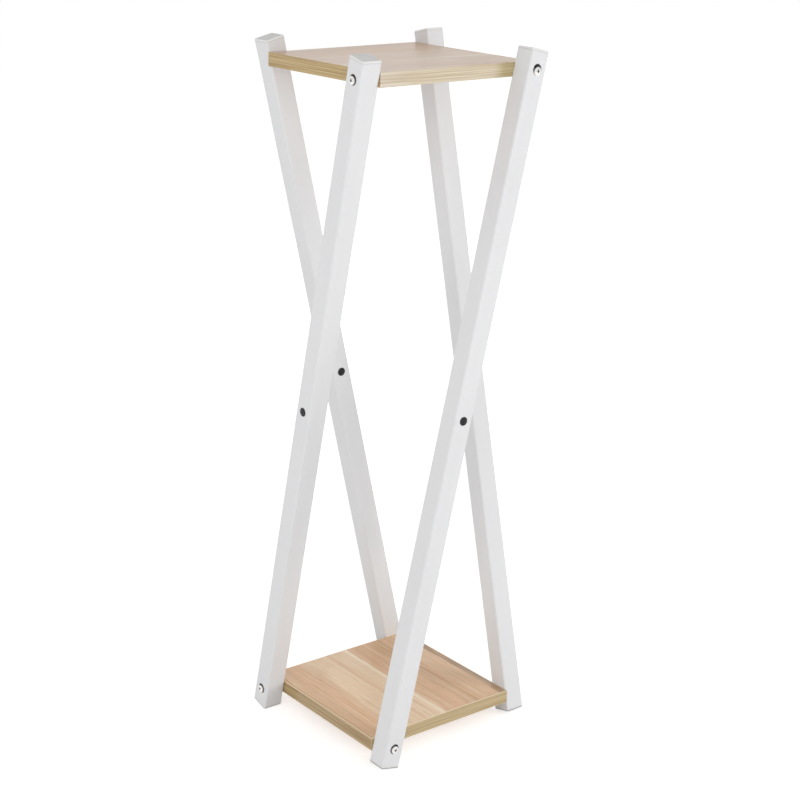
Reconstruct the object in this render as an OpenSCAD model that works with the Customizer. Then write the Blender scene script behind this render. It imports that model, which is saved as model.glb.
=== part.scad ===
// Tall plant stand: two square boards held by four leaning square tubes.
// Each tube lies flat on one side of both boards and runs corner to corner,
// so the four legs make a quarter turn between the lower and the top board.
// The origin is on the floor, in the middle of the stand.

/* [Boards] */
// Side of each square board, edge bands included
board_side = 250; // [200:5:400]
// Thickness of the particle-board core
core_t = 17.4; // [12:0.2:30]
// Thickness of the laminate sheet on each face of the core
laminate_t = 0.8; // [0.4:0.1:1.5]
// Thickness of the edge band
band_t = 1; // [0.6:0.1:3]
// Easing of the edge band's outer edges
band_ease_r = 0.5; // [0.2:0.1:0.6]

/* [Tubes] */
// Outside width of the square tube
tube_w = 30; // [25:1:50]
// Wall of the tube
tube_wall = 1.2; // [0.8:0.1:2.5]
// Outer corner radius of the tube
tube_corner_r = 2.5; // [2:0.1:5]
// Cut length of each tube
tube_len = 995; // [500:5:1500]
// Distance from each tube end to its bolt, along the tube
bolt_from_end = 25; // [22:0.5:60]
// Distance from the board's corner to the bolt, along the board's edge
bolt_from_corner = 17.5; // [15:0.5:40]

/* [End caps] */
// Thickness of the cap's head, which closes the end of the tube
cap_head_t = 3.5; // [2.6:0.1:5]
// Rounding of the rim of the head
cap_rim_r = 1.6; // [0.4:0.1:2.4]
// Chamfer of the head where it meets the tube
cap_seam = 0.5; // [0.2:0.1:0.6]
// Depth of the hollow body that is pushed into the tube
cap_body_depth = 12; // [9:0.5:14]
// Wall of the hollow body
cap_body_wall = 1.4; // [1:0.1:2.5]
// Space between the body and the inside of the tube, which the ribs fill
cap_rib_reach = 1; // [0.6:0.1:1.6]
// Thickness of one gripping rib
cap_rib_t = 0.7; // [0.5:0.1:1]
// Number of gripping ribs round the body
cap_rib_count = 4; // [2:1:4]
// Clearance between a rib and the inside of the tube
cap_fit = 0.1; // [0.05:0.05:0.3]
// Width of the slit in each corner of the body, which lets its sides flex
cap_slit_w = 2.4; // [1:0.2:4]

/* [Bolts] */
// Diameter of the bolt
bolt_d = 6; // [4:0.5:8]
// Length of the bolt under its head
bolt_len = 45; // [40:1:60]
// Diameter of the bolt's pan head
bolt_head_d = 11; // [10:0.5:16]
// Height of the bolt's pan head
bolt_head_h = 3.2; // [2.4:0.1:5]
// Width of the arms of the cross recess
recess_arm_w = 1.5; // [0.8:0.1:2]
// Depth of the cross recess
recess_depth = 2; // [1:0.1:2.1]
// Clearance round the bolt in the sleeve and in the tube's inner wall
bolt_clear = 0.3; // [0.1:0.05:0.5]
// Height of the straight rim of the head, under its domed crown
head_rim_h = 1.9; // [0.6:0.1:2.2]
// Width of the gap round a head that sits in the middle of its access hole
head_gap = 1.7; // [0.8:0.1:2.5]
// How far the front leg's top bolt sits below the middle of its access hole, along the tube
front_drop = 2.3; // [0:0.1:4]
// How far the other bolts sit below the middle of theirs
other_drop = 0.7; // [0:0.1:4]

/* [Sleeves and inserts] */
// Wall of the spacer sleeve that carries the bolt head inside the tube
sleeve_wall = 0.8; // [0.6:0.1:1.5]
// Least clearance between a sleeve and its access hole
sleeve_clear = 0.3; // [0.1:0.1:1]
// Wall of the threaded insert under its barbs
insert_wall = 1.2; // [0.8:0.1:2]
// Height of the insert's barbs
barb_h = 0.8; // [0.4:0.1:1]
// Number of barbs on an insert
barb_count = 5; // [3:1:6]
// Length of the insert
insert_len = 15; // [10:1:20]
// How far the insert sits below the face of the edge band
insert_recess = 0.3; // [0.2:0.1:1]
// Clearance between the bolt and the insert's thread
thread_clear = 0.05; // [0.02:0.01:0.1]
// Clearance between the insert and its hole
insert_clear = 0.05; // [0.02:0.01:0.1]
// Free depth in the board past the bolt's tip or the insert
tip_clear = 3; // [1:0.5:6]

/* [Hole plugs] */
// Diameter of the plug holes half way up each tube
plug_hole_d = 10; // [6:0.5:14]
// How far the plug's head covers the rim of its hole
plug_lap = 1.1; // [0.6:0.1:2]
// Thickness of the plug's head at its middle
plug_head_t = 1.1; // [0.8:0.1:2]
// Thickness of the plug's head at its rim
plug_rim_t = 0.5; // [0.3:0.1:0.8]
// Length of the plug's stem
plug_stem_len = 6.5; // [5:0.5:10]
// Wall of the plug's hollow stem
plug_stem_wall = 1; // [0.8:0.1:1.5]
// How far the snap bead stands out past the hole
plug_bead = 0.3; // [0.2:0.05:0.5]
// Width of the slits that split the stem into four fingers
plug_slit_w = 1.4; // [0.8:0.1:2]
// Clearance of the stem in its hole
plug_clear = 0.1; // [0.05:0.05:0.3]

/* [Hidden] */
$fn = 64;

// The side of the stand that each leg lies on, as quarter turns from the front
FRONT = 0;
RIGHT = 1;
BACK = 2;
LEFT = 3;
// The two ends of a leg, and the two boards
TOP = 1;
LOWER = -1;
// Overlap of cutting shapes past the faces they cut
cut = 1;

white_coat = [0.93, 0.93, 0.94];
white_plastic = [0.90, 0.90, 0.89];
wood_face = [0.84, 0.72, 0.58];
wood_edge = [0.80, 0.68, 0.48];
chipboard = [0.72, 0.58, 0.40];
bright_steel = [0.80, 0.80, 0.82];
zinc_steel = [0.68, 0.66, 0.60];
black_plastic = [0.06, 0.06, 0.06];

// The bolts fix the lean of the legs: the pitch of the two bolts along a tube
// is the slope, and their pitch along the board's edge is the run.
board_t = core_t + 2 * laminate_t;
bolt_pitch = tube_len - 2 * bolt_from_end;
bolt_run = board_side - 2 * bolt_from_corner;
bolt_rise = sqrt(pow(bolt_pitch, 2) - pow(bolt_run, 2));
lean = asin(bolt_run / bolt_pitch);

// A tilted leg stands on the rounded rim of its foot cap. This is how far
// its middle lies above that line, and so above the floor.
rim_along = tube_len / 2 + cap_head_t - cap_rim_r;
rim_across = tube_w / 2 - cap_rim_r;
leg_mid_z = rim_along * cos(lean) + rim_across * sin(lean) + cap_rim_r;

bore_w = tube_w - 2 * tube_wall;
bore_corner_r = max(tube_corner_r - tube_wall, 0.2);
core_side = board_side - 2 * band_t;

sleeve_bore_d = bolt_d + 2 * bolt_clear;
sleeve_d = sleeve_bore_d + 2 * sleeve_wall;
sleeve_len = tube_w - tube_wall;
// An access hole clears the head, and the sleeve where the bolt sits lowest in it
most_drop = max(front_drop, other_drop);
access_d = max(bolt_head_d + 2 * head_gap, sleeve_d + 2 * (most_drop + sleeve_clear));

insert_bore_d = bolt_d + 2 * thread_clear;
insert_root_d = bolt_d + 2 * insert_wall;
insert_d = insert_root_d + 2 * barb_h;
insert_hole_d = insert_d + 2 * insert_clear;
insert_hole_depth = max(insert_recess + insert_len, bolt_len - tube_w) + tip_clear;

plug_stem_d = plug_hole_d - 2 * plug_clear;
plug_head_d = plug_hole_d + 2 * plug_lap;

// A square with its four corners rounded, centred on the origin
module rounded_square(w, r) {
    square([w - 2 * r, w], center = true);
    square([w, w - 2 * r], center = true);
    for (x = [-1, 1], y = [-1, 1])
        translate([x * (w / 2 - r), y * (w / 2 - r)]) circle(r = r);
}

// A strip from y = 0 to y = t whose two far corners are rounded
module eased_strip(w, t, r) {
    translate([-w / 2, 0]) square([w, t - r]);
    translate([r - w / 2, 0]) square([w - 2 * r, t]);
    for (x = [-1, 1])
        translate([x * (w / 2 - r), t - r]) circle(r = r);
}

// Puts its children in the frame of one leg: +Z runs up the tube from the
// middle of its length, and the outer face of the tube looks along -Y
module on_leg(side) {
    rotate([0, 0, 90 * side])
        translate([0, -(board_side + tube_w) / 2, leg_mid_z])
            rotate([0, lean, 0])
                children();
}

// Puts its children on the outer face of a leg at one of its bolts, with +Z
// pointing into the tube and +Y down along it
module at_bolt(side, end) {
    on_leg(side)
        translate([0, -tube_w / 2, end * bolt_pitch / 2])
            rotate([-90, 0, 0])
                children();
}

// How far a bolt sits below the middle of its access hole
function bolt_drop(side, end) = side == FRONT && end == TOP ? front_drop : other_drop;

// One hole across the tube from y_from to y_to, z_at up from its middle
module cross_hole(d, y_from, y_to, z_at) {
    translate([0, y_from, z_at])
        rotate([-90, 0, 0])
            cylinder(d = d, h = y_to - y_from);
}

// Tubes

module tube(side) {
    color(white_coat)
        on_leg(side)
            difference() {
                linear_extrude(height = tube_len, center = true)
                    rounded_square(tube_w, tube_corner_r);
                linear_extrude(height = tube_len + 2 * cut, center = true)
                    rounded_square(bore_w, bore_corner_r);
                for (end = [TOP, LOWER]) {
                    bolt_z = end * bolt_pitch / 2;
                    cross_hole(access_d, -tube_w / 2 - cut, 0, bolt_z + bolt_drop(side, end));
                    cross_hole(sleeve_bore_d, 0, tube_w / 2 + cut, bolt_z);
                }
                cross_hole(plug_hole_d, -tube_w / 2 - cut, tube_w / 2 + cut, 0);
            }
}

// End caps

// Side view of a cap's head of width w: chamfered where it meets the tube and
// rounded at the rim
module head_outline(w) {
    rim_z = cap_head_t - cap_rim_r;
    polygon([
        [cap_seam - w / 2, 0],
        [w / 2 - cap_seam, 0],
        [w / 2, cap_seam],
        [w / 2, rim_z],
        [-w / 2, rim_z],
        [-w / 2, cap_seam]
    ]);
    translate([cap_rim_r - w / 2, rim_z])
        square([w - 2 * cap_rim_r, cap_rim_r]);
    for (x = [-1, 1])
        translate([x * (w / 2 - cap_rim_r), rim_z]) circle(r = cap_rim_r);
}

// Head of a cap, as wide as the tube: two crossed bars and a round puck in
// each corner, which share the outline
module cap_head() {
    straight = tube_w - 2 * tube_corner_r;
    for (turn = [0, 90])
        rotate([90, 0, turn])
            linear_extrude(height = straight, center = true)
                head_outline(tube_w);
    for (x = [-1, 1], y = [-1, 1])
        translate([x * straight / 2, y * straight / 2])
            rotate_extrude()
                intersection() {
                    head_outline(2 * tube_corner_r);
                    square([tube_corner_r, cap_head_t]);
                }
}

// Hollow body of a cap with the ribs that grip the tube, below z = 0
module cap_body() {
    body_w = bore_w - 2 * cap_rib_reach;
    body_corner_r = max(bore_corner_r - cap_rib_reach / 2, 0.4);
    hollow_w = body_w - 2 * cap_body_wall;
    rib_pitch = (cap_body_depth - cap_rib_t) / cap_rib_count;
    difference() {
        union() {
            translate([0, 0, -cap_body_depth])
                linear_extrude(height = cap_body_depth)
                    rounded_square(body_w, body_corner_r);
            for (rib = [1 : cap_rib_count])
                translate([0, 0, -rib * rib_pitch])
                    linear_extrude(height = cap_rib_t)
                        rounded_square(bore_w - 2 * cap_fit, bore_corner_r);
        }
        translate([0, 0, -cap_body_depth - cut])
            linear_extrude(height = cap_body_depth + cut)
                square(hollow_w, center = true);
        for (turn = [45, 135])
            rotate([0, 0, turn])
                translate([0, 0, -cap_body_depth / 2 - cap_rib_t - cut])
                    cube([2 * tube_w, cap_slit_w, cap_body_depth], center = true);
    }
}

module end_cap(side, end) {
    color(white_plastic)
        on_leg(side)
            rotate([end == TOP ? 0 : 180, 0, 0])
                translate([0, 0, tube_len / 2])
                    union() {
                        cap_head();
                        cap_body();
                    }
}

// Boards

// Puts its children in the middle of a board's thickness
module on_board(level) {
    translate([0, 0, leg_mid_z + level * bolt_rise / 2])
        children();
}

// The four holes for the inserts, one in from each side of the board
module insert_holes(level) {
    for (side = [FRONT : LEFT])
        rotate([0, 0, 90 * side])
            translate([level * bolt_run / 2, -board_side / 2 - cut, 0])
                rotate([-90, 0, 0])
                    cylinder(d = insert_hole_d, h = insert_hole_depth + cut);
}

module core(level) {
    color(chipboard)
        on_board(level)
            difference() {
                cube([core_side, core_side, core_t], center = true);
                insert_holes(level);
            }
}

// Laminate sheet on one face of the core: face is 1 above and -1 below
module laminate(level, face) {
    color(wood_face)
        on_board(level)
            translate([0, 0, face * (core_t + laminate_t) / 2])
                cube([core_side, core_side, laminate_t], center = true);
}

// Edge band on one side of a board. The front and back bands cover the ends
// of the other two.
module edge_band(level, side) {
    covers_ends = side == FRONT || side == BACK;
    band_len = covers_ends ? board_side : core_side;
    color(wood_edge)
        on_board(level)
            difference() {
                rotate([0, 0, 90 * side])
                    translate([0, -core_side / 2, 0])
                        rotate([0, -90, 0])
                            mirror([0, 1, 0])
                                linear_extrude(height = band_len, center = true)
                                    eased_strip(board_t, band_t, band_ease_r);
                insert_holes(level);
            }
}

// Bolts, sleeves and inserts, each drawn with +Z pointing into the stand

// Cross recess of a bolt head, tapered towards its floor, cut down from the
// crown of the head
module cross_recess() {
    arm_reach = 0.26 * bolt_head_d;
    floor_reach = 0.5 * arm_reach;
    translate([0, 0, -bolt_head_h])
        intersection() {
            translate([0, 0, -cut])
                cylinder(r1 = arm_reach + cut / 2, r2 = floor_reach, h = recess_depth + cut);
            union() {
                cube([2 * bolt_head_d, recess_arm_w, 2 * recess_depth + cut], center = true);
                cube([recess_arm_w, 2 * bolt_head_d, 2 * recess_depth + cut], center = true);
            }
        }
}

// Outline of the pan head: a short straight rim under an arc that meets the
// crown. Its radius follows from the head's width and height.
module head_profile() {
    dome_h = bolt_head_h - head_rim_h;
    half_w = bolt_head_d / 2;
    dome_r = (pow(half_w, 2) + pow(dome_h, 2)) / (2 * dome_h);
    translate([0, -head_rim_h])
        square([half_w, head_rim_h]);
    intersection() {
        translate([0, -bolt_head_h])
            square([half_w, dome_h]);
        translate([0, dome_r - bolt_head_h])
            circle(r = dome_r, $fn = 160);
    }
}

module bolt() {
    tip = 0.15 * bolt_d;
    difference() {
        rotate_extrude() head_profile();
        cross_recess();
    }
    cylinder(d = bolt_d, h = bolt_len - tip);
    translate([0, 0, bolt_len - tip])
        cylinder(d1 = bolt_d, d2 = bolt_d - 2 * tip, h = tip);
}

// One bolt at the same end of every leg. The drivers left their recesses at
// different angles.
module bolts(end) {
    left_turn = 37;
    color(bright_steel)
        for (side = [FRONT : LEFT])
            at_bolt(side, end)
                rotate([0, 0, left_turn * side - end * 12])
                    bolt();
}

module sleeves(end) {
    color(zinc_steel)
        for (side = [FRONT : LEFT])
            at_bolt(side, end)
                difference() {
                    cylinder(d = sleeve_d, h = sleeve_len);
                    translate([0, 0, -cut])
                        cylinder(d = sleeve_bore_d, h = sleeve_len + 2 * cut);
                }
}

// Half outline of an insert: barbs that slope towards the end that goes in
module insert_profile() {
    barb_pitch = insert_len / barb_count;
    root_r = insert_root_d / 2;
    barb_r = insert_d / 2;
    difference() {
        polygon(concat(
            [[0, 0]],
            [for (i = [0 : barb_count - 1], step = [0, 1])
                step == 0 ? [barb_r, i * barb_pitch] : [root_r, (i + 1) * barb_pitch]],
            [[0, insert_len]]
        ));
        translate([0, -cut])
            square([insert_bore_d / 2, insert_len + 2 * cut]);
    }
}

module inserts(end) {
    color(zinc_steel)
        for (side = [FRONT : LEFT])
            at_bolt(side, end)
                translate([0, 0, tube_w + insert_recess])
                    rotate_extrude() insert_profile();
}

// Hole plugs

// Half outline of a plug: a low dome over the hole, a stem that fits the
// hole, and a bead that snaps behind the wall and leads in at its tip
module plug_profile() {
    stem_r = plug_stem_d / 2;
    bead_r = plug_hole_d / 2 + plug_bead;
    bore_r = stem_r - plug_stem_wall;
    bead_z = tube_wall + plug_clear;
    tip_r = stem_r - 0.6 * plug_stem_wall;
    crown = plug_head_t - plug_rim_t;
    half_w = plug_head_d / 2;
    dome_r = (pow(half_w, 2) + pow(crown, 2)) / (2 * crown);
    translate([0, -plug_rim_t])
        square([half_w, plug_rim_t]);
    intersection() {
        translate([0, -plug_head_t])
            square([half_w, crown]);
        translate([0, dome_r - plug_head_t])
            circle(r = dome_r, $fn = 300);
    }
    polygon([
        [bore_r, 0],
        [stem_r, 0],
        [stem_r, bead_z],
        [bead_r, bead_z + plug_bead],
        [bead_r, bead_z + 2 * plug_bead],
        [tip_r, plug_stem_len],
        [bore_r, plug_stem_len]
    ]);
}

module plug() {
    difference() {
        rotate_extrude() plug_profile();
        for (turn = [0, 90])
            rotate([0, 0, turn])
                translate([-plug_head_d, -plug_slit_w / 2, tube_wall / 2])
                    cube([2 * plug_head_d, plug_slit_w, plug_stem_len]);
    }
}

// A plug in the middle of each leg: face is -1 on the outside and 1 inside
module plugs(face) {
    color(black_plastic)
        for (side = [FRONT : LEFT])
            on_leg(side)
                translate([0, face * tube_w / 2, 0])
                    rotate([face * 90, 0, 0])
                        plug();
}

tube(FRONT);  // tube_front
tube(RIGHT);  // tube_right
tube(BACK);  // tube_back
tube(LEFT);  // tube_left
end_cap(FRONT, TOP);  // top_cap_front
end_cap(RIGHT, TOP);  // top_cap_right
end_cap(BACK, TOP);  // top_cap_back
end_cap(LEFT, TOP);  // top_cap_left
end_cap(FRONT, LOWER);  // foot_cap_front
end_cap(RIGHT, LOWER);  // foot_cap_right
end_cap(BACK, LOWER);  // foot_cap_back
end_cap(LEFT, LOWER);  // foot_cap_left
core(TOP);  // top_core
laminate(TOP, 1);  // top_upper_laminate
laminate(TOP, -1);  // top_lower_laminate
edge_band(TOP, FRONT);  // top_band_front
edge_band(TOP, RIGHT);  // top_band_right
edge_band(TOP, BACK);  // top_band_back
edge_band(TOP, LEFT);  // top_band_left
core(LOWER);  // lower_core
laminate(LOWER, 1);  // lower_upper_laminate
laminate(LOWER, -1);  // lower_lower_laminate
edge_band(LOWER, FRONT);  // lower_band_front
edge_band(LOWER, RIGHT);  // lower_band_right
edge_band(LOWER, BACK);  // lower_band_back
edge_band(LOWER, LEFT);  // lower_band_left
bolts(TOP);  // top_bolts
bolts(LOWER);  // lower_bolts
sleeves(TOP);  // top_sleeves
sleeves(LOWER);  // lower_sleeves
inserts(TOP);  // top_inserts
inserts(LOWER);  // lower_inserts
plugs(-1);  // outer_plugs
plugs(1);  // inner_plugs
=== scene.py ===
"""Looks of the plant stand: two wood-effect boards held by four white square-tube legs."""

import math

import bpy
from mathutils import Matrix, Vector


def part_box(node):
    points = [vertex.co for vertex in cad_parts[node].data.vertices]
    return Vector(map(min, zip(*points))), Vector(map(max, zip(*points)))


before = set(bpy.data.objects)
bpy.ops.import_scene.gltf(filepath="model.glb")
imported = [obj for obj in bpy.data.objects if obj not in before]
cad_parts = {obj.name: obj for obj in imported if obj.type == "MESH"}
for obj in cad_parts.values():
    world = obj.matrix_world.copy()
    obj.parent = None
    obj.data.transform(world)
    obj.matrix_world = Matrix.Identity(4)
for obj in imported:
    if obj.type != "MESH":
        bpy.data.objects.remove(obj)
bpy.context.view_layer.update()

MM = 0.001
MM_PER_METRE = 1000

# The legs and boards, by the names that the frame gives them
LEGS = ("front", "right", "back", "left")
BOARDS = ("top", "lower")

# The stand, in mm. A leg's two bolts are BOLT_PITCH apart along its tube and BOLT_RUN apart sideways, and
# TUBE_RISE is the height of the leaning tube.
tube_low, tube_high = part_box("tube_front")
band_low, band_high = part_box("top_band_front")
BOLT_PITCH = 945
BOLT_RUN = 215
TUBE_LEAN = math.asin(BOLT_RUN / BOLT_PITCH)
TUBE_WALL = 1.2
TUBE_WIDTH = (tube_high.y - tube_low.y) / MM
TUBE_RISE = (tube_high.z - tube_low.z) / MM
TUBE_LENGTH = (TUBE_RISE - TUBE_WIDTH * math.sin(TUBE_LEAN)) / math.cos(TUBE_LEAN)
BOARD_SIDE = (band_high.x - band_low.x) / MM

# The camera, front left of the stand and a little above it: its place and aim in metres, its lens and
# sensor in mm
CAMERA_AT = Vector((-1.4570, -1.8800, 1.2381))
CAMERA_AIM = Vector((0.0076, -0.0059, 0.4805))
CAMERA_ROLL = math.radians(1.043)
CAMERA_LENS = 79.5
SENSOR = 36

# The floor: its side in metres, its grey level and its roughness
FLOOR_SIDE = 14.0
FLOOR_LEVEL = 0.84
FLOOR_ROUGHNESS = 0.9

# How bright the world is: as light on the stand, and where it is seen
WORLD_LEVEL = 0.48
SEEN_LEVEL = 1.0
WHITE = (1.0, 1.0, 1.0)

# How much is added to the floor where it is seen, so that it looks white: less near the stand, which
# keeps its shadow, and more where the lamps reach less. The distances are in mm.
LIFT_NEAR, LIFT_FAR = 0.54, 0.68
LIFT_NEAR_TO, LIFT_FAR_FROM = 300, 2200

# The soft boxes: where each stands and its side, in metres, and its power in watts
LAMPS = {
    "key": ((1.93, -2.30, 1.05), 1.5, 31),
    "fill": ((-3.00, 0.00, 1.10), 2.0, 17.5),
    "front": ((-1.54, -1.84, 1.30), 2.0, 15.5),
    "back": ((0.90, 2.90, 1.10), 2.0, 19),
}
LAMP_AIM = Vector((0, 0, 0.5))


def shade(colour, factor):
    """A colour made darker or paler by a factor."""
    return tuple(factor * c for c in colour)


# Colours, linear. The bare steel is inside the tubes. The pale rim colour of the top caps is a painted
# highlight, and the dark rim colour of the foot caps is painted shade where they stand on the floor.
COAT = (0.800, 0.802, 0.812)
COAT_CLOUD = shade(COAT, 0.97)
BARE_STEEL = (0.800, 0.800, 0.800)
CAP = (0.785, 0.780, 0.760)
CAP_CLOUD = shade(CAP, 0.95)
# a painted highlight on the rims of the top caps
TOP_RIM_HIGHLIGHT = (0.880, 0.880, 0.880)
# painted shade on the rims of the foot caps, where they stand on the floor
FOOT_RIM_SHADE = (0.240, 0.240, 0.235)
NICKEL = (0.81, 0.80, 0.78)
NICKEL_SMEAR = shade(NICKEL, 0.82)
# near-black painted shade in the bolts' recesses
RECESS_SHADE = (0.06, 0.06, 0.06)
ZINC = (0.86, 0.86, 0.84)
ZINC_CLOUD = shade(ZINC, 0.9)
BLACK = (0.012, 0.012, 0.013)
BLACK_CLOUD = shade(BLACK, 1.6)
CHIP_DARK = (0.22, 0.13, 0.06)
CHIP_LIGHT = (0.52, 0.36, 0.19)
WOOD_TAN = (0.665, 0.415, 0.232)
WOOD_ROSE = (0.745, 0.458, 0.262)
WOOD_BLUSH = (0.785, 0.530, 0.330)
WOOD_CREAM = (0.850, 0.632, 0.415)
WOOD_LINE = (0.945, 0.780, 0.570)
WOOD_BROWN = (0.560, 0.325, 0.160)
WOOD_UMBER = (0.330, 0.200, 0.110)
WOOD_PORE = shade(WOOD_BROWN, 0.6)
BAND_DARK = (0.345, 0.225, 0.090)
BAND_PALE = (0.620, 0.495, 0.270)
BAND_MIDDLE = tuple((dark + pale) / 2 for dark, pale in zip(BAND_DARK, BAND_PALE))
# partly the paler eased edge of a band, partly a painted highlight on it
ARRIS_PALE_AND_HIGHLIGHT = (0.930, 0.800, 0.570)

# The noises of each finish: blotch size in mm, the same all ways or along each axis, then detail and
# roughness. The axes are a leg's own for the coat. They are across the grain, along it and through the
# sheet for the laminate, and along, through and up for a band.
NOISES = {
    "coat": {"cloud": ((60, 60, 140), 3, 0.5), "peel": (1.6, 1.5, 0.5)},
    "cap": {"cloud": (12, 2, 0.5), "grain": (0.35, 2, 0.5)},
    "nickel": {"smear": (2.5, 3, 0.5), "marks": (0.18, 2, 0.5)},
    "zinc": {"cloud": (3, 3, 0.5)},
    "moulding": {"cloud": (5, 2, 0.5), "spark": (0.30, 2, 0.5)},
    "laminate": {
        "cloud": ((40, 110, 60), 2, 0.5),
        "streaks": ((3.6, 190, 40), 3, 0.6),
        "fibres": ((1.1, 60, 20), 3, 0.65),
        "pores": ((0.55, 14, 8), 2, 0.5),
    },
    "band": {
        "lines": ((200, 60, 1.7), 3, 0.6),
        "fibres": ((40, 30, 0.6), 2, 0.6),
    },
}

# The noises that bend the grain: blotch size in mm, detail, roughness, and how wide the grain sways, in mm
BENDS = {
    "laminate": (((90, 260, 90), 1, 0.5, 9), ((40, 45, 60), 3, 0.5, 6)),
    "band": (((130, 200, 60), 1, 0.5, 5),),
}

# The range in which the noise of the pores makes a pore, and how far a pore sinks below the fibres, as a
# share of the relief
PORE_RANGE = (0.60, 0.72)
PORE_SINK = -0.6

# What is laid over each first colour in turn: a noise, the range in which it counts, the layer's share at
# both ends of that range, and its colour
LAYERS = {
    "coat": (("cloud", 0.35, 0.65, 0.0, 0.5, COAT_CLOUD),),
    "cap": (("cloud", 0.30, 0.70, 0.0, 1.0, CAP_CLOUD),),
    "nickel": (("smear", 0.35, 0.70, 0.0, 0.5, NICKEL_SMEAR),),
    "laminate": (
        ("cloud", 0.30, 0.55, 0.30, 0.0, WOOD_BROWN),
        ("streaks", 0.30, 0.50, 0.32, 0.0, WOOD_BROWN),
        ("streaks", 0.52, 0.72, 0.0, 0.25, WOOD_LINE),
        ("fibres", 0.45, 0.75, 0.0, 0.30, WOOD_LINE),
        ("fibres", 0.25, 0.45, 0.30, 0.0, WOOD_BROWN),
    ),
    "pores": (("pores", *PORE_RANGE, 0.0, 0.35, WOOD_PORE),),
    "band": (
        ("lines", 0.36, 0.64, 0.0, 1.0, BAND_PALE),
        ("fibres", 0.30, 0.50, 0.4, 0.0, BAND_DARK),
    ),
}

# What varies each finish's roughness: a noise, its range, and the roughness at both ends of that range
ROUGHNESS = {
    "coat": ("cloud", 0.30, 0.70, 0.40, 0.46),
    "cap": ("grain", 0.20, 0.80, 0.48, 0.60),
    "nickel": ("smear", 0.30, 0.70, 0.38, 0.50),
    "zinc": ("cloud", 0.30, 0.70, 0.60, 0.75),
    "moulding": ("spark", 0.25, 0.75, 0.34, 0.50),
    "laminate": ("streaks", 0.30, 0.70, 0.34, 0.28),
    "band": ("lines", 0.30, 0.70, 0.24, 0.18),
}

# How deep the fine relief of each finish is, in mm
RELIEF = {
    "coat": 0.010, "cap": 0.012, "nickel": 0.004, "zinc": 0.010, "moulding": 0.008,
    "laminate": 0.012, "band": 0.020, "chips": 0.15,
}

# The coat starts this far outside a tube's bore, in mm
COAT_MARGIN = 0.1

# The rim of a cap, which carries a painted highlight on a top cap and painted shade on a foot cap, starts
# and is full this far inside the tube's sides and this far past its end, in mm
RIM_INSET = (1.6, 0.9)
RIM_RISE = (1.5, 2.1)

# The painted shade in the bolts' recesses: how far from a point walls count, in mm, and how open the point
# is where the shade starts to fade and where it is gone
RECESS_REACH = 2.5
RECESS_RANGE = (0.40, 0.88)
OPENNESS_SAMPLES = 8

# How strongly the black plastic reflects
MOULDING_SPECULAR = 0.22

# The chips of the boards' cores, as cells per mm along each axis
CHIP_SCALE = (0.35, 0.35, 0.8)
CHIP_ROUGHNESS = 0.85

# The printed planks of each board's face: where each starts, in mm from the left edge of the lower board
# or the front edge of the top one, and its colour
PLANKS = {
    "lower": (
        (0, WOOD_BROWN), (5, WOOD_TAN), (24, WOOD_ROSE), (44, WOOD_BLUSH), (52, WOOD_CREAM),
        (98, WOOD_BLUSH), (105, WOOD_CREAM), (131, WOOD_LINE), (138, WOOD_ROSE), (178, WOOD_TAN),
        (194, WOOD_BROWN), (199, WOOD_ROSE), (208, WOOD_BLUSH), (239, WOOD_UMBER),
    ),
    "top": (
        (0, WOOD_BLUSH), (72, WOOD_CREAM), (98, WOOD_BLUSH), (176, WOOD_ROSE), (215, WOOD_TAN),
    ),
}

# Half the width of the soft joint between two planks, in mm, and the most it may be of the first plank
PLANK_BLUR = {"lower": 1.5, "top": 12}
BLUR_SHARE = 1 / 3

# The tone that a face's colours are multiplied by, and how strong its streaks are. Both boards have the
# same laminate, and the top one's greyer, bluer tone is a painted sheen.
FACE_TONE_AND_SHEEN = {"lower": (1.055, 1.055, 1.065), "top": (0.945, 1.00, 1.145)}
FACE_STREAKS = {"lower": 1.35, "top": 1.1}

# The tones of the edge bands. The front ones are paler, which is a painted sheen of the light on them, and
# the others have the left one's tone.
BAND_KIND = {"front": "front", "right": "left", "back": "left", "left": "left"}
BAND_TONE_AND_SHEEN = {
    "top": {"front": (1.345, 1.52, 2.21), "left": (1.07, 1.03, 0.94)},
    "lower": {"front": (1.12, 1.14, 1.22), "left": (0.91, 0.84, 0.765)},
}

# How much of the grain's contrast the bands show: less on the front ones, under their painted sheen
BAND_LINES = {
    "top": {"front": 0.55, "left": 0.80},
    "lower": {"front": 0.60, "left": 0.90},
}

# The painted sheen on the top board's front band is stronger towards its left end and gone at its right
# end, beside the front leg, which leaves it golden there: where each change starts and ends, in mm from the
# middle, its share at both, and the tone that it goes to
TOP_FRONT_SHEEN_ENDS = (
    (-120, -60, 1.0, 0.0, (1.46, 1.72, 2.75)),
    (57, 80, 0.0, 1.0, (1.26, 1.37, 1.50)),
)

# The pale line where a band's long edges are eased, partly the band's paler rounding and partly a painted
# highlight: how far from the edge it starts and is full, in mm, and how strong it is
ARRIS_INSET = (0.7, 0.3)
ARRIS_SHARE = {"top": 0.25, "lower": 0.90}


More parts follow.
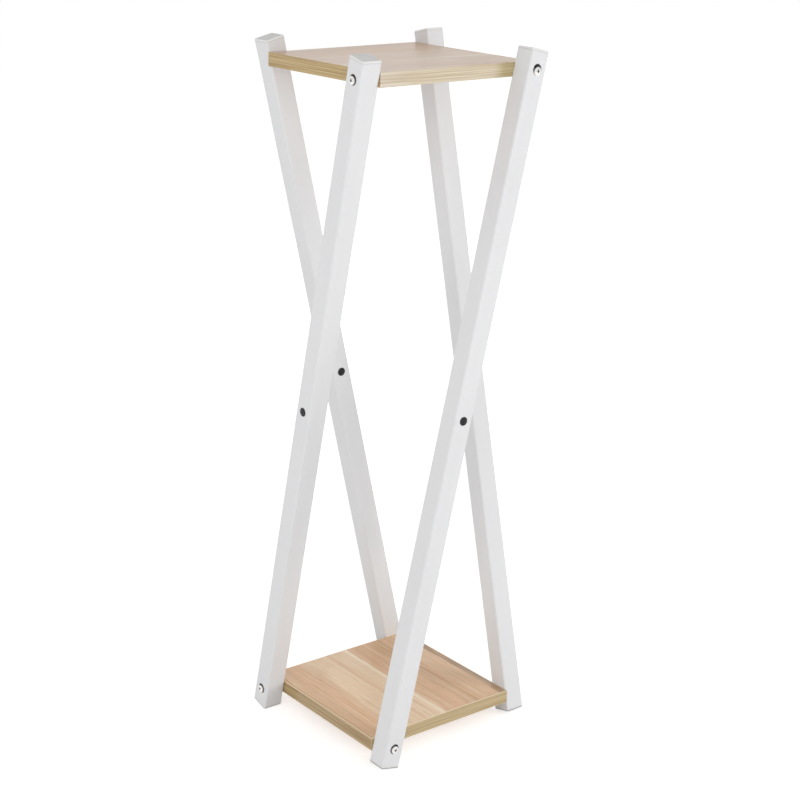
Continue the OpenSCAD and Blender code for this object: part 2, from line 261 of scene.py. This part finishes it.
class Shader:
    """One material, with short ways to add nodes to it. Lengths are in mm."""

    def __init__(self, name):
        self.material = bpy.data.materials.new(name)
        self.material.use_nodes = True
        self.nodes = self.material.node_tree.nodes
        self.links = self.material.node_tree.links
        self.surface = next(n for n in self.nodes if n.type == "BSDF_PRINCIPLED")

    def feed(self, socket, value):
        """Links an output to a socket, or sets the socket to a number, colour or vector."""
        if isinstance(value, bpy.types.NodeSocket):
            self.links.new(value, socket)
        elif isinstance(value, (tuple, list)) and len(value) == 3 and socket.type == "RGBA":
            socket.default_value = (*value, 1)
        else:
            socket.default_value = value

    def set(self, **inputs):
        """Sets or links the surface's sockets, such as base_color=..., roughness=..."""
        for name, value in inputs.items():
            socket = next(s for s in self.surface.inputs if s.name.lower().replace(" ", "_") == name)
            self.feed(socket, value)

    def set_finish(self, finish, noise, colour, height, **inputs):
        """Sets the surface's colour, a finish's roughness and fine relief, and any other sockets."""
        name, low, high, at_low, at_high = ROUGHNESS[finish]
        self.set(
            base_color=colour,
            roughness=self.fade(noise[name], low, high, at_low, at_high),
            normal=self.bump(height, RELIEF[finish]),
            **inputs,
        )

    def place(self):
        """Each point's place in the frame, in mm."""
        return self.in_mm(self.nodes.new("ShaderNodeTexCoord").outputs["Object"])

    def on_leg(self, side):
        """Each point's place in the frame of a leg, in mm: Z runs up the tube and -Y is its outer face.

        The side is counted in quarter turns from the front leg.
        """
        low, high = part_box(f"tube_{LEGS[side]}")
        node = self.nodes.new("ShaderNodeMapping")
        node.vector_type = "TEXTURE"
        self.feed(node.inputs["Vector"], self.nodes.new("ShaderNodeTexCoord").outputs["Object"])
        node.inputs["Location"].default_value = (low + high) / 2
        node.inputs["Rotation"].default_value = (0, TUBE_LEAN, math.radians(90 * side))
        return self.in_mm(node.outputs[0])

    def in_mm(self, metres):
        return self.vector("MULTIPLY", metres, (MM_PER_METRE,) * 3)

    def vector(self, operation, a, b=(0, 0, 0)):
        node = self.nodes.new("ShaderNodeVectorMath")
        node.operation = operation
        self.feed(node.inputs[0], a)
        self.feed(node.inputs[1], b)
        return node.outputs["Value"] if operation == "LENGTH" else node.outputs["Vector"]

    def maths(self, operation, a, b=0.0):
        node = self.nodes.new("ShaderNodeMath")
        node.operation = operation
        self.feed(node.inputs[0], a)
        self.feed(node.inputs[1], b)
        return node.outputs[0]

    def axes(self, vector):
        node = self.nodes.new("ShaderNodeSeparateXYZ")
        self.feed(node.inputs[0], vector)
        return node.outputs[0], node.outputs[1], node.outputs[2]

    def joined(self, x, y, z):
        node = self.nodes.new("ShaderNodeCombineXYZ")
        for socket, value in zip(node.inputs, (x, y, z)):
            self.feed(socket, value)
        return node.outputs[0]

    def noise(self, vector, size, detail, rough):
        """Noise whose blotches are about size across: a number, or one size per axis."""
        sizes = size if isinstance(size, tuple) else (size, size, size)
        node = self.nodes.new("ShaderNodeTexNoise")
        self.feed(node.inputs["Vector"], self.vector("MULTIPLY", vector, tuple(1 / s for s in sizes)))
        node.inputs["Scale"].default_value = 1
        node.inputs["Detail"].default_value = detail
        node.inputs["Roughness"].default_value = rough
        return node.outputs["Fac"]

    def noises(self, vector, finish):
        """The noises of a finish, by name."""
        return {name: self.noise(vector, *row) for name, row in NOISES[finish].items()}

    def bent(self, across, vector, finish):
        """A place across the grain, moved to either side by the noises that bend a finish's grain."""
        for size, detail, rough, width in BENDS[finish]:
            push = self.maths("SUBTRACT", self.noise(vector, size, detail, rough), 0.5)
            across = self.maths("ADD", across, self.maths("MULTIPLY", push, width))
        return across

    def ramp(self, value, stops):
        """A value from 0 to 1 turned into colours at stops, each (place, colour)."""
        node = self.nodes.new("ShaderNodeValToRGB")
        self.feed(node.inputs[0], value)
        elements = node.color_ramp.elements
        elements.remove(elements[1])
        elements[0].position = stops[0][0]
        elements[0].color = (*stops[0][1], 1)
        for at, colour in stops[1:]:
            elements.new(at).color = (*colour, 1)
        return node.outputs["Color"]

    def fade(self, value, low, high, to_low=0.0, to_high=1.0):
        """Maps low..high smoothly to to_low..to_high."""
        node = self.nodes.new("ShaderNodeMapRange")
        node.interpolation_type = "SMOOTHSTEP"
        for socket, number in zip(node.inputs, (value, low, high, to_low, to_high)):
            self.feed(socket, number)
        return node.outputs[0]

    def mix(self, share, a, b, kind="MIX"):
        """A mix of two colours. Sockets 6 and 7, and output 2, are the node's colours."""
        node = self.nodes.new("ShaderNodeMix")
        node.data_type = "RGBA"
        node.blend_type = kind
        self.feed(node.inputs[0], share)
        self.feed(node.inputs[6], a)
        self.feed(node.inputs[7], b)
        return node.outputs[2]

    def layered(self, colour, noise, layers, strength=1.0):
        """A colour with a row of LAYERS laid over it in turn, each with its share times strength."""
        for name, low, high, at_low, at_high, tint in LAYERS[layers]:
            share = self.fade(noise[name], low, high, at_low * strength, at_high * strength)
            colour = self.mix(share, colour, tint)
        return colour

    def bump(self, height, depth):
        """A bump whose height runs from 0 to 1 over depth."""
        node = self.nodes.new("ShaderNodeBump")
        node.inputs["Strength"].default_value = 1
        node.inputs["Distance"].default_value = depth * MM
        self.feed(node.inputs["Height"], height)
        return node.outputs[0]

    def openness(self, reach):
        """How open the space over each point is, 0 to 1, within reach: low in recesses."""
        node = self.nodes.new("ShaderNodeAmbientOcclusion")
        node.inputs["Distance"].default_value = reach * MM
        node.only_local = True
        node.samples = OPENNESS_SAMPLES
        return node.outputs["AO"]


def powder_coat(side):
    """White satin powder coat on the outside of a tube, bare steel inside it."""
    s = Shader(f"powder_coat_{LEGS[side]}")
    place = s.on_leg(side)
    x, y, _ = s.axes(s.vector("ABSOLUTE", place))
    coat_from = TUBE_WIDTH / 2 - TUBE_WALL + COAT_MARGIN
    outside = s.maths("GREATER_THAN", s.maths("MAXIMUM", x, y), coat_from)
    noise = s.noises(place, "coat")
    coat = s.layered(COAT, noise, "coat")
    s.set_finish("coat", noise, s.mix(outside, BARE_STEEL, coat), noise["peel"])
    return s.material


def cap_plastic(side, end):
    """Fine matt white plastic of an end cap, with a painted highlight on the rim of a top cap and painted
    shade on the rim of a foot cap.
    """
    s = Shader(f"cap_plastic_{end}_{LEGS[side]}")
    place = s.on_leg(side)
    x, y, z = s.axes(s.vector("ABSOLUTE", place))
    near_side = s.fade(s.maths("MAXIMUM", x, y), *(TUBE_WIDTH / 2 - inset for inset in RIM_INSET))
    near_end = s.fade(z, *(TUBE_LENGTH / 2 + rise for rise in RIM_RISE))
    rim = s.maths("MULTIPLY", near_side, near_end)
    noise = s.noises(place, "cap")
    plain = s.layered(CAP, noise, "cap")
    # the rim gets a painted highlight on a top cap and painted shade on a foot cap
    rim_light_and_shade = TOP_RIM_HIGHLIGHT if end == "top" else FOOT_RIM_SHADE
    s.set_finish("cap", noise, s.mix(rim, plain, rim_light_and_shade), noise["grain"])
    return s.material


def plank_ramp(s, across, planks, blur):
    """Colours of the planks, with a soft joint at the start of each."""
    stops = [(0.0, planks[0][1])]
    for (start, colour), (before_at, before) in zip(planks[1:], planks):
        soft = min(blur, (start - before_at) * BLUR_SHARE)
        stops += [((start - soft) / BOARD_SIDE, before), ((start + soft) / BOARD_SIDE, colour)]
    return s.ramp(s.maths("DIVIDE", across, BOARD_SIDE), stops)


def laminate(board):
    """Printed wood grain on a board's faces, along Y on the lower board and along X on the top one."""
    s = Shader(f"laminate_{board}")
    x, y, z = s.axes(s.place())
    across, along = (x, y) if board == "lower" else (y, x)
    across = s.maths("ADD", across, BOARD_SIDE / 2)
    across = s.bent(across, s.joined(across, along, z), "laminate")
    noise = s.noises(s.joined(across, along, z), "laminate")
    planks = plank_ramp(s, across, PLANKS[board], PLANK_BLUR[board])
    wood = s.layered(planks, noise, "laminate", FACE_STREAKS[board])
    wood = s.layered(wood, noise, "pores")
    # the top board's face gets a painted sheen through its tone
    colour = s.mix(1.0, wood, FACE_TONE_AND_SHEEN[board], "MULTIPLY")
    relief = s.maths("ADD", noise["fibres"], s.fade(noise["pores"], *PORE_RANGE, 0.0, PORE_SINK))
    s.set_finish("laminate", noise, colour, relief)
    return s.material


def edge_band(board, side):
    """Wood grain along an edge band, with a pale line, partly a painted highlight, where its long edges are
    eased.
    """
    s = Shader(f"edge_band_{board}_{side}")
    x, y, z = s.axes(s.place())
    along, depth = (x, y) if side in ("front", "back") else (y, x)
    low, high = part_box(f"{board}_band_{side}")
    middle, half = (low.z + high.z) / 2 / MM, (high.z - low.z) / 2 / MM
    up = s.maths("SUBTRACT", z, middle)
    bent_up = s.bent(up, s.joined(along, depth, up), "band")
    noise = s.noises(s.joined(along, depth, bent_up), "band")
    kind = BAND_KIND[side]
    tone = BAND_TONE_AND_SHEEN[board][kind]
    # the painted sheen on the top board's front band changes along it
    if (board, side) == ("top", "front"):
        for start, end, start_share, end_share, end_sheen_tone in TOP_FRONT_SHEEN_ENDS:
            tone = s.mix(s.fade(along, start, end, start_share, end_share), tone, end_sheen_tone)
    wood = s.mix(BAND_LINES[board][kind], BAND_MIDDLE, s.layered(BAND_DARK, noise, "band"))
    wood = s.mix(1.0, wood, tone, "MULTIPLY")
    # the eased edges get a pale line that is partly a painted highlight
    arris_from, arris_full = (half - inset for inset in ARRIS_INSET)
    arris_pale_and_highlight = s.fade(s.maths("ABSOLUTE", up), arris_from, arris_full, 0.0, ARRIS_SHARE[board])
    s.set_finish("band", noise, s.mix(arris_pale_and_highlight, wood, ARRIS_PALE_AND_HIGHLIGHT), noise["fibres"])
    return s.material


def particle_board():
    """Pressed wood chips of the cores."""
    s = Shader("particle_board")
    chips = s.nodes.new("ShaderNodeTexVoronoi")
    s.feed(chips.inputs["Vector"], s.vector("MULTIPLY", s.place(), CHIP_SCALE))
    chips.inputs["Scale"].default_value = 1
    _, tone, _ = s.axes(chips.outputs["Color"])
    s.set(
        base_color=s.mix(tone, CHIP_DARK, CHIP_LIGHT),
        roughness=CHIP_ROUGHNESS,
        normal=s.bump(chips.outputs["Distance"], RELIEF["chips"]),
    )
    return s.material


def nickel():
    """Bright nickel plate of the bolts, with fine turning marks, and painted shade in their cross recesses.
    """
    s = Shader("nickel")
    noise = s.noises(s.place(), "nickel")
    plate = s.layered(NICKEL, noise, "nickel")
    # the recesses are painted dark as shade, by how open each point is
    colour = s.mix(s.fade(s.openness(RECESS_REACH), *RECESS_RANGE), RECESS_SHADE, plate)
    s.set_finish("nickel", noise, colour, noise["marks"], metallic=1.0)
    return s.material


def zinc():
    """Matt zinc plate of the sleeves and inserts."""
    s = Shader("zinc")
    noise = s.noises(s.place(), "zinc")
    colour = s.mix(noise["cloud"], ZINC, ZINC_CLOUD)
    s.set_finish("zinc", noise, colour, noise["cloud"], metallic=1.0)
    return s.material


def black_moulding():
    """Black plastic of the hole plugs, with a faint spark texture."""
    s = Shader("black_moulding")
    noise = s.noises(s.place(), "moulding")
    colour = s.mix(noise["cloud"], BLACK, BLACK_CLOUD)
    s.set_finish("moulding", noise, colour, noise["spark"], specular_ior_level=MOULDING_SPECULAR)
    return s.material


def dress(node, material):
    """Gives a CAD node its material."""
    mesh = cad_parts[node].data
    mesh.materials.clear()
    mesh.materials.append(material)


def dress_all():
    chips, bright, dull, black = particle_board(), nickel(), zinc(), black_moulding()
    for side, leg in enumerate(LEGS):
        dress(f"tube_{leg}", powder_coat(side))
        dress(f"top_cap_{leg}", cap_plastic(side, "top"))
        dress(f"foot_cap_{leg}", cap_plastic(side, "foot"))
    for board in BOARDS:
        face = laminate(board)
        dress(f"{board}_core", chips)
        dress(f"{board}_upper_laminate", face)
        dress(f"{board}_lower_laminate", face)
        for side in LEGS:
            dress(f"{board}_band_{side}", edge_band(board, side))
        dress(f"{board}_bolts", bright)
        dress(f"{board}_sleeves", dull)
        dress(f"{board}_inserts", dull)
    dress("outer_plugs", black)
    dress("inner_plugs", black)


def add_camera():
    """Looks at the middle of the stand, turned a little about its own axis."""
    data = bpy.data.cameras.new("camera")
    data.lens = CAMERA_LENS
    data.sensor_width = SENSOR
    camera = bpy.data.objects.new("camera", data)
    turn = (CAMERA_AIM - CAMERA_AT).to_track_quat("-Z", "Y").to_matrix()
    camera.matrix_world = Matrix.LocRotScale(CAMERA_AT, turn @ Matrix.Rotation(CAMERA_ROLL, 3, "Z"), None)
    bpy.context.scene.collection.objects.link(camera)
    bpy.context.scene.camera = camera


def seen_ray(nodes, links):
    """1 for rays from the camera and for reflected or refracted ones, 0 for the light on the stand."""
    path = nodes.new("ShaderNodeLightPath")
    seen = path.outputs["Is Camera Ray"]
    for ray in ("Is Glossy Ray", "Is Transmission Ray"):
        either = nodes.new("ShaderNodeMath")
        either.operation = "MAXIMUM"
        links.new(seen, either.inputs[0])
        links.new(path.outputs[ray], either.inputs[1])
        seen = either.outputs[0]
    return seen


def add_floor():
    """A plain pale floor at the height that the feet stand on, which looks white beside its shadows."""
    half = FLOOR_SIDE / 2
    corners = [(-half, -half, 0), (half, -half, 0), (half, half, 0), (-half, half, 0)]
    mesh = bpy.data.meshes.new("floor")
    mesh.from_pydata(corners, [], [(0, 1, 2, 3)])
    floor = bpy.data.objects.new("floor", mesh)
    bpy.context.scene.collection.objects.link(floor)
    s = Shader("floor")
    s.set(
        base_color=[FLOOR_LEVEL] * 3,
        roughness=FLOOR_ROUGHNESS,
        specular_ior_level=0.0,
        emission_color=WHITE,
    )
    from_middle = s.vector("LENGTH", s.place())
    lift = s.fade(from_middle, LIFT_NEAR_TO, LIFT_FAR_FROM, LIFT_NEAR, LIFT_FAR)
    s.set(emission_strength=s.maths("MULTIPLY", seen_ray(s.nodes, s.links), lift))
    mesh.materials.append(s.material)


def add_lamp(name, at, side, power):
    """A square soft box that looks at the middle of the stand and isn't seen in reflections."""
    data = bpy.data.lights.new(name, "AREA")
    data.shape = "SQUARE"
    data.size = side
    data.energy = power
    lamp = bpy.data.objects.new(name, data)
    lamp.location = at
    lamp.rotation_mode = "QUATERNION"
    lamp.rotation_quaternion = (LAMP_AIM - Vector(at)).to_track_quat("-Z", "Y")
    lamp.visible_camera = False
    lamp.visible_glossy = False
    bpy.context.scene.collection.objects.link(lamp)


def add_world():
    """Even light for the object, and plain white for what the camera and reflections see."""
    world = bpy.data.worlds.new("studio")
    world.use_nodes = True
    nodes, links = world.node_tree.nodes, world.node_tree.links
    nodes.clear()
    shaders = []
    for strength in (WORLD_LEVEL, SEEN_LEVEL):
        background = nodes.new("ShaderNodeBackground")
        background.inputs["Color"].default_value = (*WHITE, 1)
        background.inputs["Strength"].default_value = strength
        shaders.append(background)
    mix = nodes.new("ShaderNodeMixShader")
    links.new(seen_ray(nodes, links), mix.inputs[0])
    links.new(shaders[0].outputs[0], mix.inputs[1])
    links.new(shaders[1].outputs[0], mix.inputs[2])
    out = nodes.new("ShaderNodeOutputWorld")
    links.new(mix.outputs[0], out.inputs[0])
    bpy.context.scene.world = world


def main():
    add_camera()
    add_world()
    add_floor()
    for name, (at, side, power) in LAMPS.items():
        add_lamp(name, at, side, power)
    dress_all()
    bpy.context.scene.view_settings.view_transform = "Standard"


main()
